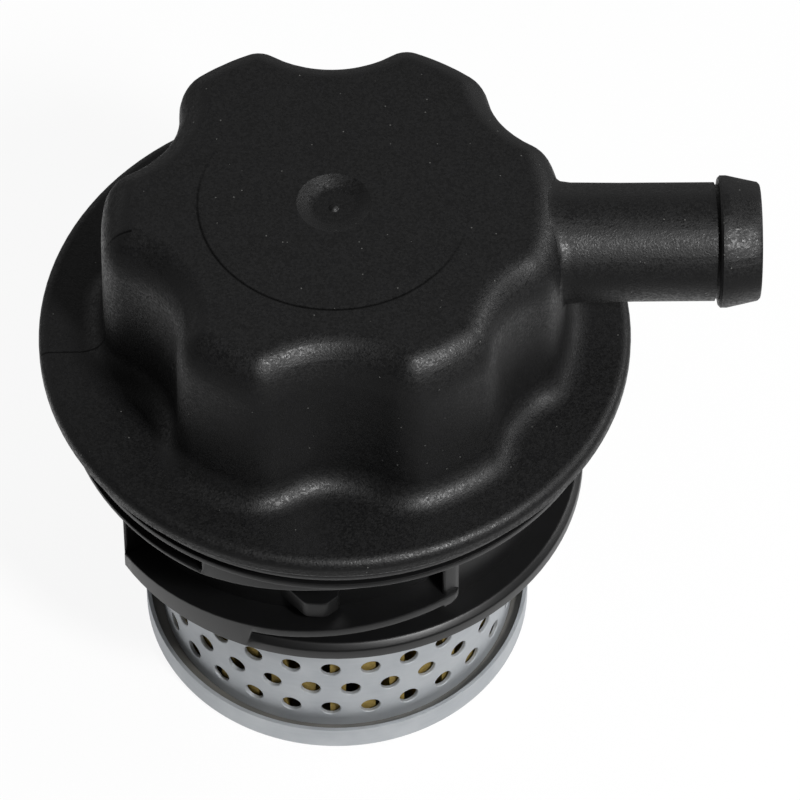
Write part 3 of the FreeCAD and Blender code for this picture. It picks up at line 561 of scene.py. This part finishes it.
def casting_resin():
    """Grey glue with a smooth poured skin."""
    material, tree = new_material("casting_resin_poured")
    place = add_node(tree, "ShaderNodeTexCoord").outputs["Object"]
    flow = add_node(tree, "ShaderNodeTexNoise",
                    {"Vector": place, "Scale": 1.0 / (FLOW_MM * MM), "Detail": 1.0})
    shade = add_node(tree, "ShaderNodeMix", {0: flow, 6: linear("4c4b48"), 7: linear("66645f")},
                     data_type="RGBA").outputs[2]
    shader = add_node(tree, "ShaderNodeBsdfPrincipled", {"Base Color": shade, "Roughness": 0.3, "IOR": 1.55})
    add_node(tree, "ShaderNodeOutputMaterial", {"Surface": shader})
    return material


# %% [markdown]
# ## A finish for each slot
#
# The record names a material slot for each node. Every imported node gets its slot's finish, also those
# that a finer piece replaces further down, because that piece takes its finish from the same table.

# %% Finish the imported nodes
FINISHES = {
    "black_nylon": NYLON,
    "seal_rubber": RUBBER,
    "zinc_steel": ZINC,
    "spring_steel": SPRING_STEEL,
    "filter_paper": filter_paper(),
    "end_glue": casting_resin(),
}
SLOTS = {row["node"]: row["material_slot"] for row in frame["record"]["subparts"]}
for name, node in NODES.items():
    node.data.materials.clear()
    node.data.materials.append(FINISHES[SLOTS[name]])
print("finished nodes:", len(NODES))

# %% [markdown]
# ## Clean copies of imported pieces
#
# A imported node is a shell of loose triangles. Merging the triangles of a copy and dissolving its flat
# faces gives a clean mesh, which takes smooth shading and which the bevel operator can work on. A crisp
# edge gets the small radius that a mould or a press leaves, so that it catches the light.

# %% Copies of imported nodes
WELD_MM = 0.002
FLAT_ANGLE = radians(0.4)
CRISP_ANGLE = radians(40.0)


def everything(work):
    """All verts, edges and faces of a bmesh."""
    return work.verts[:] + work.edges[:] + work.faces[:]


def welded(node_name):
    """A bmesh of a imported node, its triangles joined and its flat faces whole."""
    work = bmesh.new()
    work.from_mesh(NODES[node_name].data)
    bmesh.ops.remove_doubles(work, verts=work.verts, dist=WELD_MM * MM)
    bmesh.ops.dissolve_limit(work, angle_limit=FLAT_ANGLE, verts=work.verts, edges=work.edges)
    return work


def middle_of(edge):
    """The middle of an edge, in mm."""
    return (edge.verts[0].co + edge.verts[1].co) / 2 / MM


def open_edges(work):
    """How many edges of a mesh have no face at one side."""
    return len([edge for edge in work.edges if not edge.is_manifold])


def crisp_edges(work, wanted=None):
    """The edges that stand out at a clear angle, where wanted says yes to their middle."""
    return [edge for edge in work.edges
            if edge.is_manifold and edge.calc_face_angle_signed() > CRISP_ANGLE
            and (wanted is None or wanted(middle_of(edge)))]


def round_off(work, edges, width_mm, segments=2):
    """Rounds some edges of a bmesh, and gives back what it made."""
    return bmesh.ops.bevel(work, geom=edges, offset=width_mm * MM, offset_type="OFFSET", segments=segments,
                           profile=0.5, affect="EDGES", material=-1, clamp_overlap=False)


# %% [markdown]
# ## From mesh to piece
#
# A finished piece is shaded smooth, except along edges that are still sharp, and its shading is weighted
# by the size of its faces, so that a large flat face stays flat beside a narrow rounding. Light that
# grazes a curve of flat faces leaves bands where the curve turns into shade. Shadow rays that start a
# little above the facets take them away. The piece then rides on the body of the node that it replaces.

# %% Finished pieces
SHADING_ANGLE = radians(38.0)
FACET_LIFT = 0.3
BODY_OF = {}
for body, held in frame["record"]["behaviour"]["bodies"].items():
    for name in held:
        BODY_OF[name] = body


def finished_piece(work, name, node_name):
    """An object from a bmesh, smoothly shaded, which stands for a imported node."""
    for face in work.faces:
        face.smooth = True
    for edge in work.edges:
        edge.smooth = not edge.is_manifold or edge.calc_face_angle() < SHADING_ANGLE
    mesh = bpy.data.meshes.new(name)
    work.to_mesh(mesh)
    work.free()
    mesh.materials.append(FINISHES[SLOTS[node_name]])
    piece = bpy.data.objects.new(name, mesh)
    bpy.context.scene.collection.objects.link(piece)
    piece.modifiers.new("even_shading", "WEIGHTED_NORMAL").keep_sharp = True
    piece.cycles.shadow_terminator_geometry_offset = FACET_LIFT
    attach(piece, BODY_OF[node_name])
    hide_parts(node_name)
    print(name, "faces:", len(mesh.polygons))
    return piece


print("bodies:", sorted(set(BODY_OF.values())))

# %% [markdown]
# ## The grip's outline
#
# Seen from above, the grip is a circle with six rounded valleys. Each valley is an arc, with a smaller
# arc at either side where it meets the lobe. The arcs follow from a few radii, so a point's inset from
# the outline is its distance to the arc that it belongs to.

# %% Outline arcs
LOBE_R = 31.2
LOBE_CORNER_R = 5.4
VALLEY_R = 12.6
VALLEYS = ((34.5, 2.7), (90.0, 5.0), (150.0, 5.0), (210.0, 5.0), (270.0, 5.0), (325.5, 2.7))
BULGE = 1
HOLLOW = -1


def polar(radius, angle):
    """A point in the level plane at a radius and an angle in degrees."""
    return Vector((radius * cos(radians(angle)), radius * sin(radians(angle))))


def grip_arcs():
    """The outline's arcs, each with its centre, its radius and its side. Valleys are (angle, depth)."""
    corner_centre_r = LOBE_R - LOBE_CORNER_R
    reach = VALLEY_R + LOBE_CORNER_R
    arcs = [(Vector((0.0, 0.0)), LOBE_R, BULGE)]
    for angle, depth in VALLEYS:
        centre_r = LOBE_R - depth + VALLEY_R
        opposite = corner_centre_r ** 2 + centre_r ** 2 - reach ** 2
        half = degrees(acos(opposite / (2 * corner_centre_r * centre_r)))
        arcs.append((polar(centre_r, angle), VALLEY_R, HOLLOW))
        arcs.append((polar(corner_centre_r, angle - half), LOBE_CORNER_R, BULGE))
        arcs.append((polar(corner_centre_r, angle + half), LOBE_CORNER_R, BULGE))
    return arcs


GRIP_ARCS = grip_arcs()
print("grip arcs:", len(GRIP_ARCS))

# %% [markdown]
# ## Round edges out of flat bands
#
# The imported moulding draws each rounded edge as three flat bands. The copy is cut at more heights
# between them, and every new point is slid level on to the true curve, which is a quarter of an ellipse
# in section. A point belongs to a band if its inset from the outline is the band's own at its height.
# The grip's wall also leans in a little with height, as a moulding must to leave its mould.

# %% Taper and place of a point
NEAR_MM = 0.03
FLANGE_TOP = 8.1
GRIP_HEIGHT = 26.1
GRIP_DRAFT = 0.5


def draft_at(height):
    """How far the grip's taper has come in at a height."""
    return GRIP_DRAFT * (height - FLANGE_TOP) / GRIP_HEIGHT


def no_draft(height):
    """The flange's edge has no taper."""
    return 0.0


def slid(point, arcs, flat, true):
    """Where a point of a band goes, or None if its inset isn't the flat band's."""
    for arc_centre, radius, side in arcs:
        away = point.xy - arc_centre
        if abs(side * (radius - away.length) - flat) < NEAR_MM:
            place = arc_centre + away.normalized() * (radius - side * true)
            return Vector((place.x, place.y, point.z))
    return None


print("taper at the grip's top in mm:", round(draft_at(FLANGE_TOP + GRIP_HEIGHT), 2))

# %% [markdown]
# ### Cutting and sliding
#
# The cuts stand at even angles of the ellipse, so that the finished curve is smooth all along. The
# angle of a point's height says which band it lies in, and the band's two ends say what its inset is on
# the flat face and what it has to be on the curve.

# %% Rounding the bands
BANDS = 3
BAND_ANGLE = 90.0 / BANDS
CUTS_PER_BAND = 4
ON_PLANE = 1e-7


def make_round(work, arcs, centre, reach, first_angle, taper):
    """Turns three bands around an outline into a round edge.

    Centre and reach are the (inset, height) centre and half axes of the section's ellipse.
    """
    def on_ellipse(angle):
        turn = radians(angle)
        return centre[0] + reach[0] * cos(turn), centre[1] + reach[1] * sin(turn)

    for cut in range(1, BANDS * CUTS_PER_BAND):
        height = on_ellipse(first_angle + cut * BAND_ANGLE / CUTS_PER_BAND)[1]
        if cut % CUTS_PER_BAND:
            bmesh.ops.bisect_plane(work, geom=everything(work), dist=ON_PLANE,
                                   plane_co=(0, 0, height * MM), plane_no=(0, 0, 1))
    moved = 0
    for vert in work.verts:
        point = vert.co / MM
        sine = (point.z - centre[1]) / reach[1]
        if not -1.0 < sine < 1.0:
            continue
        angle = degrees(asin(sine))
        band = (angle - first_angle) // BAND_ANGLE
        if not 0 <= band < BANDS:
            continue
        low = on_ellipse(first_angle + band * BAND_ANGLE)
        high = on_ellipse(first_angle + (band + 1) * BAND_ANGLE)
        inset = low[0] + (high[0] - low[0]) * (point.z - low[1]) / (high[1] - low[1])
        place = slid(point, arcs, inset + taper(point.z), on_ellipse(angle)[0] + taper(point.z))
        if place is not None:
            vert.co = place * MM
            moved += 1
    print("moved on to the round:", moved)


print("facets per round edge:", BANDS * CUTS_PER_BAND)

# %% [markdown]
# ## The moulding
#
# The grip has an elliptical crest and a round foot that flares on to the flange, and the flange has a
# round upper edge. Each is given by its section's centre and reach, as (inset, height) in mm.

# %% Grip and flange
CREST_CENTRE = (4.4, 27.4)
CREST_REACH = (-4.4, 6.8)
FOOT_CENTRE = (-3.5, 11.6)
FOOT_REACH = (3.5, 3.5)
FLANGE_ARCS = [(Vector((0.0, 0.0)), 40.0, BULGE)]
FLANGE_ROUND = 1.5
FLANGE_CENTRE = (FLANGE_ROUND, FLANGE_TOP - FLANGE_ROUND)
FLANGE_REACH = (-FLANGE_ROUND, FLANGE_ROUND)

cap = welded("cap_body")
print("welded faces:", len(cap.faces), "open edges:", open_edges(cap))
make_round(cap, GRIP_ARCS, CREST_CENTRE, CREST_REACH, 0.0, draft_at)
make_round(cap, GRIP_ARCS, FOOT_CENTRE, FOOT_REACH, -90.0, draft_at)
make_round(cap, FLANGE_ARCS, FLANGE_CENTRE, FLANGE_REACH, 0.0, no_draft)

# %% [markdown]
# ### The nipple's root
#
# The nipple runs into the grip's wall with a fillet, as a moulding needs where plastic flows round a
# corner. Its sharp inner edge is found by its distance from the nipple's axis, slivers beside it are
# merged so that the bevel doesn't fold over itself, and a few rounds of smoothing let the fillet run
# evenly over the crest.

# %% Fillet at the root
NIPPLE_R = 7.9
NIPPLE_Z = 25.24
ROOT_X = (22.0, LOBE_R + 1.0)
ROOT_TOLERANCE = 0.2
INNER_ANGLE = radians(-15.0)
NIPPLE_FILLET = 1.0
FILLET_SEGMENTS = 4
SMOOTHING_ROUNDS = 3
SLIVER_MM = 0.03


def at_root(edge):
    """Whether an edge is an inner corner between the nipple and the grip's wall."""
    if not edge.is_manifold or edge.calc_face_angle_signed() >= INNER_ANGLE:
        return False
    middle = middle_of(edge)
    from_axis = Vector((middle.y, middle.z - NIPPLE_Z)).length
    return ROOT_X[0] < middle.x < ROOT_X[1] and abs(from_axis - NIPPLE_R) < ROOT_TOLERANCE


bmesh.ops.remove_doubles(cap, verts=cap.verts, dist=SLIVER_MM * MM)
root = [edge for edge in cap.edges if at_root(edge)]
print("edges around the nipple's root:", len(root))
fillet = round_off(cap, root, NIPPLE_FILLET, FILLET_SEGMENTS)["verts"]
for _ in range(SMOOTHING_ROUNDS):
    bmesh.ops.smooth_vert(cap, verts=fillet, factor=0.5, use_axis_x=True, use_axis_y=True, use_axis_z=True)

# %% [markdown]
# ### Collar and crisp edges
#
# The upright corners of the bayonet's ledges are rounded most, as they are milled into the mould with a
# round cutter. All other outside edges from the flange down get only the small radius of the mould.

# %% Collar and crisp edges
LEDGE_OUTSIDE_R = 33.0
LEDGE_TOP_Z = -0.5
UPRIGHT_SHARE = 0.95
UPRIGHT_RADIUS = 0.6
UPRIGHT_SEGMENTS = 3
DRUM_OUTSIDE_R = 30.0
MOULD_RADIUS = 0.22


def is_upright(edge):
    """Whether an edge rises by nearly its whole length."""
    return abs(edge.verts[0].co.z - edge.verts[1].co.z) > UPRIGHT_SHARE * edge.calc_length()


corners = crisp_edges(cap, lambda middle: middle.xy.length > LEDGE_OUTSIDE_R and middle.z < LEDGE_TOP_Z)
corners = [edge for edge in corners if is_upright(edge)]
print("upright corners on the collar:", len(corners))
round_off(cap, corners, UPRIGHT_RADIUS, UPRIGHT_SEGMENTS)
outside = crisp_edges(cap, lambda middle: middle.xy.length > DRUM_OUTSIDE_R and middle.z < FLANGE_TOP)
round_off(cap, outside, MOULD_RADIUS)
finished_piece(cap, "moulded_cap", "cap_body")

# %% [markdown]
# ## The perforated tube
#
# The filter's outer wall is a steel sheet punched with round holes and rolled into a tube. The holes
# stand in rows, every other row half a step on. One flat cell is made first: a square border bridged to
# a circle. Its copies fill the sheet.

# %% Punched sheet
TUBE_R = 25.0
HOLE_R = 1.4
HOLE_SIDES = 16
COLUMNS = 28
ROWS = 8
ROW_STEP = 4.67
HALF_CELL = 0.5
NEAR_BORDER = 0.01


def verts_among(geometry):
    """The verts among some geometry."""
    return [item for item in geometry if isinstance(item, bmesh.types.BMVert)]


def hole_cell(width, height):
    """A flat cell of sheet around one hole, in mm."""
    cell = bmesh.new()
    bmesh.ops.create_circle(cell, cap_ends=False, segments=HOLE_SIDES, radius=HOLE_R)
    border = bmesh.ops.create_grid(cell, x_segments=HOLE_SIDES // 4, y_segments=HOLE_SIDES // 4,
                                   size=HALF_CELL)["verts"]
    inner = [vert for vert in border if max(abs(vert.co.x), abs(vert.co.y)) < HALF_CELL - NEAR_BORDER]
    rim = [vert for vert in border if vert not in inner]
    bmesh.ops.scale(cell, vec=(width, height, 1.0), verts=rim)
    bmesh.ops.delete(cell, geom=inner, context="VERTS")
    bmesh.ops.bridge_loops(cell, edges=cell.edges)
    return cell


def copied(work, geometry, x, y):
    """Adds a copy of some geometry, moved along the sheet."""
    copy = bmesh.ops.duplicate(work, geom=geometry)["geom"]
    bmesh.ops.translate(work, vec=(x, y, 0.0), verts=verts_among(copy))


pitch = 2 * pi * TUBE_R / COLUMNS
tube = hole_cell(pitch, ROW_STEP)
one_cell = everything(tube)
for column in range(1, COLUMNS):
    copied(tube, one_cell, column * pitch, 0.0)
one_row = everything(tube)
for row in range(1, ROWS):
    copied(tube, one_row, (row % 2) * pitch / 2, row * ROW_STEP)
print("sheet faces:", len(tube.faces))

# %% [markdown]
# ### Rolling the sheet
#
# The sheet is bent into a tube by turning its width into an angle. Its plain ends are pulled out to the
# pans, and a shell gives it thickness. The punch leaves a small round on each hole's edge, which shows as
# a bright line on its lower side.

# %% Rolled tube
TUBE_SHEET = 0.6
FIRST_ROW_Z = -47.2
FIRST_HOLE_ANGLE = 10.5
PUNCH_ROUND = 0.1

for vert in tube.verts:
    x, y = vert.co.xy
    around = polar(TUBE_R, FIRST_HOLE_ANGLE + degrees(x / TUBE_R))
    vert.co = (around.x, around.y, FIRST_ROW_Z + y)
bmesh.ops.remove_doubles(tube, verts=tube.verts, dist=WELD_MM)
heights = [vert.co.z for vert in tube.verts]
tube_low, tube_high = [corner.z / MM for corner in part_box("outer_tube")]
for row_z, end_z in ((min(heights), tube_low), (max(heights), tube_high)):
    loop = [edge for edge in tube.edges if all(abs(vert.co.z - row_z) < NEAR_BORDER for vert in edge.verts)]
    grown = bmesh.ops.extrude_edge_only(tube, edges=loop)["geom"]
    bmesh.ops.translate(tube, vec=(0.0, 0.0, end_z - row_z), verts=verts_among(grown))
bmesh.ops.recalc_face_normals(tube, faces=tube.faces)
bmesh.ops.solidify(tube, geom=tube.faces[:], thickness=TUBE_SHEET)
bmesh.ops.scale(tube, vec=(MM, MM, MM), verts=tube.verts)
radii = [vert.co.xy.length / MM for vert in tube.verts]
print("tube radii in mm:", round(min(radii), 2), round(max(radii), 2))
round_off(tube, crisp_edges(tube), PUNCH_ROUND, 1)
finished_piece(tube, "perforated_sheet_tube", "outer_tube")

# %% [markdown]
# ## End caps, carrier and valve plate
#
# The pans and the valve's plate are pressed sheet, so their edges are only slightly round. The carrier
# is moulded, with the cap's own small radius.

# %% Pressed and moulded copies
PRESS_ROUND = 0.12
for node_name, piece_name, width in (("bottom_end_cap", "pressed_bottom_pan", PRESS_ROUND),
                                     ("top_end_cap", "pressed_top_pan", PRESS_ROUND),
                                     ("filter_carrier", "moulded_carrier", MOULD_RADIUS),
                                     ("valve_plate", "pressed_valve_plate", PRESS_ROUND)):
    work = welded(node_name)
    round_off(work, crisp_edges(work), width)
    finished_piece(work, piece_name, node_name)

# %% [markdown]
# ## The neck's seal ring
#
# The rubber ring under the flange is a true round in section, so a circle is stood upright beside the
# cap's axis and spun about it. A whole turn joins its end to its start.

# %% Neck seal ring
SEAL_WIRE_R = 2.4
SEAL_SIDES = 32
SEAL_STEPS = 160
UPRIGHT_CIRCLE = Matrix.Rotation(pi / 2, 4, "X")
seal_low, seal_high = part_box("neck_seal_ring")
wire_centre = Vector((seal_high.x - SEAL_WIRE_R * MM, 0.0, (seal_low.z + seal_high.z) / 2))
ring = bmesh.new()
bmesh.ops.create_circle(ring, cap_ends=False, segments=SEAL_SIDES, radius=SEAL_WIRE_R * MM,
                        matrix=Matrix.Translation(wire_centre) @ UPRIGHT_CIRCLE)
bmesh.ops.spin(ring, geom=everything(ring), cent=(0, 0, 0), axis=(0, 0, 1), angle=2 * pi, steps=SEAL_STEPS,
               use_merge=True)
bmesh.ops.recalc_face_normals(ring, faces=ring.faces)
print("open edges of the ring:", open_edges(ring))
finished_piece(ring, "round_seal_ring", "neck_seal_ring")

# %% [markdown]
# ## The valve's spring
#
# The bypass valve's spring is a round wire, wound on a mandrel. A circle is turned about the axis while
# it climbs, which is the spin operator with a rise at each step, and its two ends are closed.

# %% Coiled spring
WIRE_R = 0.5
WIRE_SIDES = 12
SPRING_TURNS = 4
COIL_STEPS = SPRING_TURNS * 32
spring_low, spring_high = [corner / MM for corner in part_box("valve_spring")]
rise = (spring_high.z - spring_low.z - 2 * WIRE_R) / COIL_STEPS
wire_start = Matrix.Translation((spring_high.x - WIRE_R, 0.0, spring_low.z + WIRE_R))
coil = bmesh.new()
bmesh.ops.create_circle(coil, cap_ends=False, segments=WIRE_SIDES, radius=WIRE_R,
                        matrix=wire_start @ UPRIGHT_CIRCLE)
bmesh.ops.spin(coil, geom=everything(coil), cent=(0, 0, 0), axis=(0, 0, 1), dvec=(0, 0, rise),
               angle=2 * pi * SPRING_TURNS, steps=COIL_STEPS)
bmesh.ops.holes_fill(coil, edges=coil.edges[:], sides=WIRE_SIDES)
bmesh.ops.recalc_face_normals(coil, faces=coil.faces)
bmesh.ops.scale(coil, vec=(MM, MM, MM), verts=coil.verts)
print("open edges of the wire:", open_edges(coil))
coiled_spring = finished_piece(coil, "coiled_valve_spring", "valve_spring")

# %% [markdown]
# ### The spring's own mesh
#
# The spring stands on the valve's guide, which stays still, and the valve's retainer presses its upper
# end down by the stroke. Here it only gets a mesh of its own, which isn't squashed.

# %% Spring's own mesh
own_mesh(coiled_spring)
